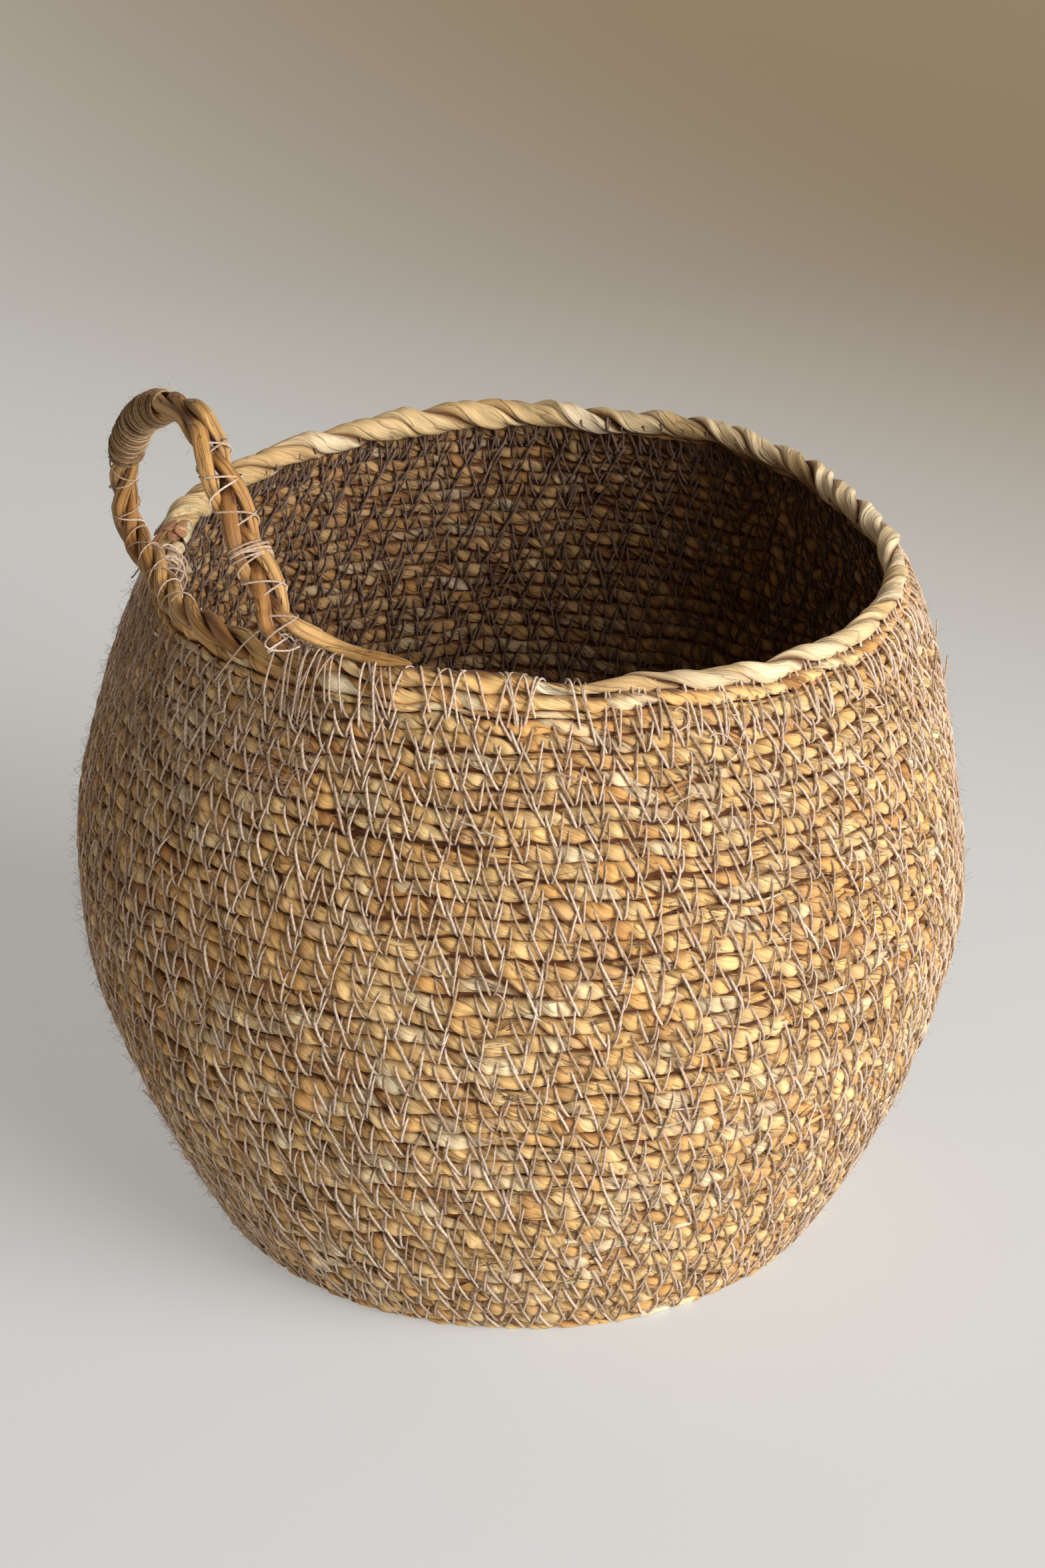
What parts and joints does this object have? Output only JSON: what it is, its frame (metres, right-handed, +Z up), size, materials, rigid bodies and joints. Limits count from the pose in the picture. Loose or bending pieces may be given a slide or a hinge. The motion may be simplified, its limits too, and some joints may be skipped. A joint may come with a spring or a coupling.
{
  "type": "storage basket",
  "caption": "Pot-bellied storage basket of coiled seagrass rope sewn with jute thread, open at the top, with a thick twisted rim and one looped rope handle.",
  "frame": {"origin": "centre of the base, on the surface the basket stands on", "axes": "+Z up through the middle of the mouth; the handle is on the -X side, at an azimuth of 210 degrees from +X towards +Y"},
  "size_m": [0.42, 0.42, 0.4318],
  "materials": {
    "seagrass_coil": "matte",
    "seagrass_rim": "satin",
    "seagrass_handle": "satin",
    "jute_thread": "matte"
  },
  "bodies": {
    "basket": {"base_coil": "seagrass_coil", "wall_coil_1": "seagrass_coil", "wall_coil_2": "seagrass_coil", "wall_coil_3": "seagrass_coil", "wall_coil_4": "seagrass_coil", "wall_coil_5": "seagrass_coil", "wall_coil_6": "seagrass_coil", "wall_coil_7": "seagrass_coil", "wall_coil_8": "seagrass_coil", "rim_strand_a": "seagrass_rim", "rim_strand_b": "seagrass_rim", "rim_stitching": "jute_thread", "rear_foot_lashing": "jute_thread", "front_foot_lashing": "jute_thread", "front_foot_tips": "seagrass_handle", "rim_splice_tail": "seagrass_rim"},
    "handle": {"handle_strand_a": "seagrass_handle", "handle_strand_b": "seagrass_handle", "handle_strand_c": "seagrass_handle", "handle_whipping": "jute_thread", "handle_lacing": "jute_thread"}
  },
  "joints": [
    {"name": "handle_flex", "type": "hinge", "parent": "basket", "child": "handle", "pos_m": [-0.13735, -0.0793, 0.3348], "axis": [0.5, -0.866, 0], "range_deg": [-30, 30], "stiffness_Nm_per_rad": 0.3}
  ]
}
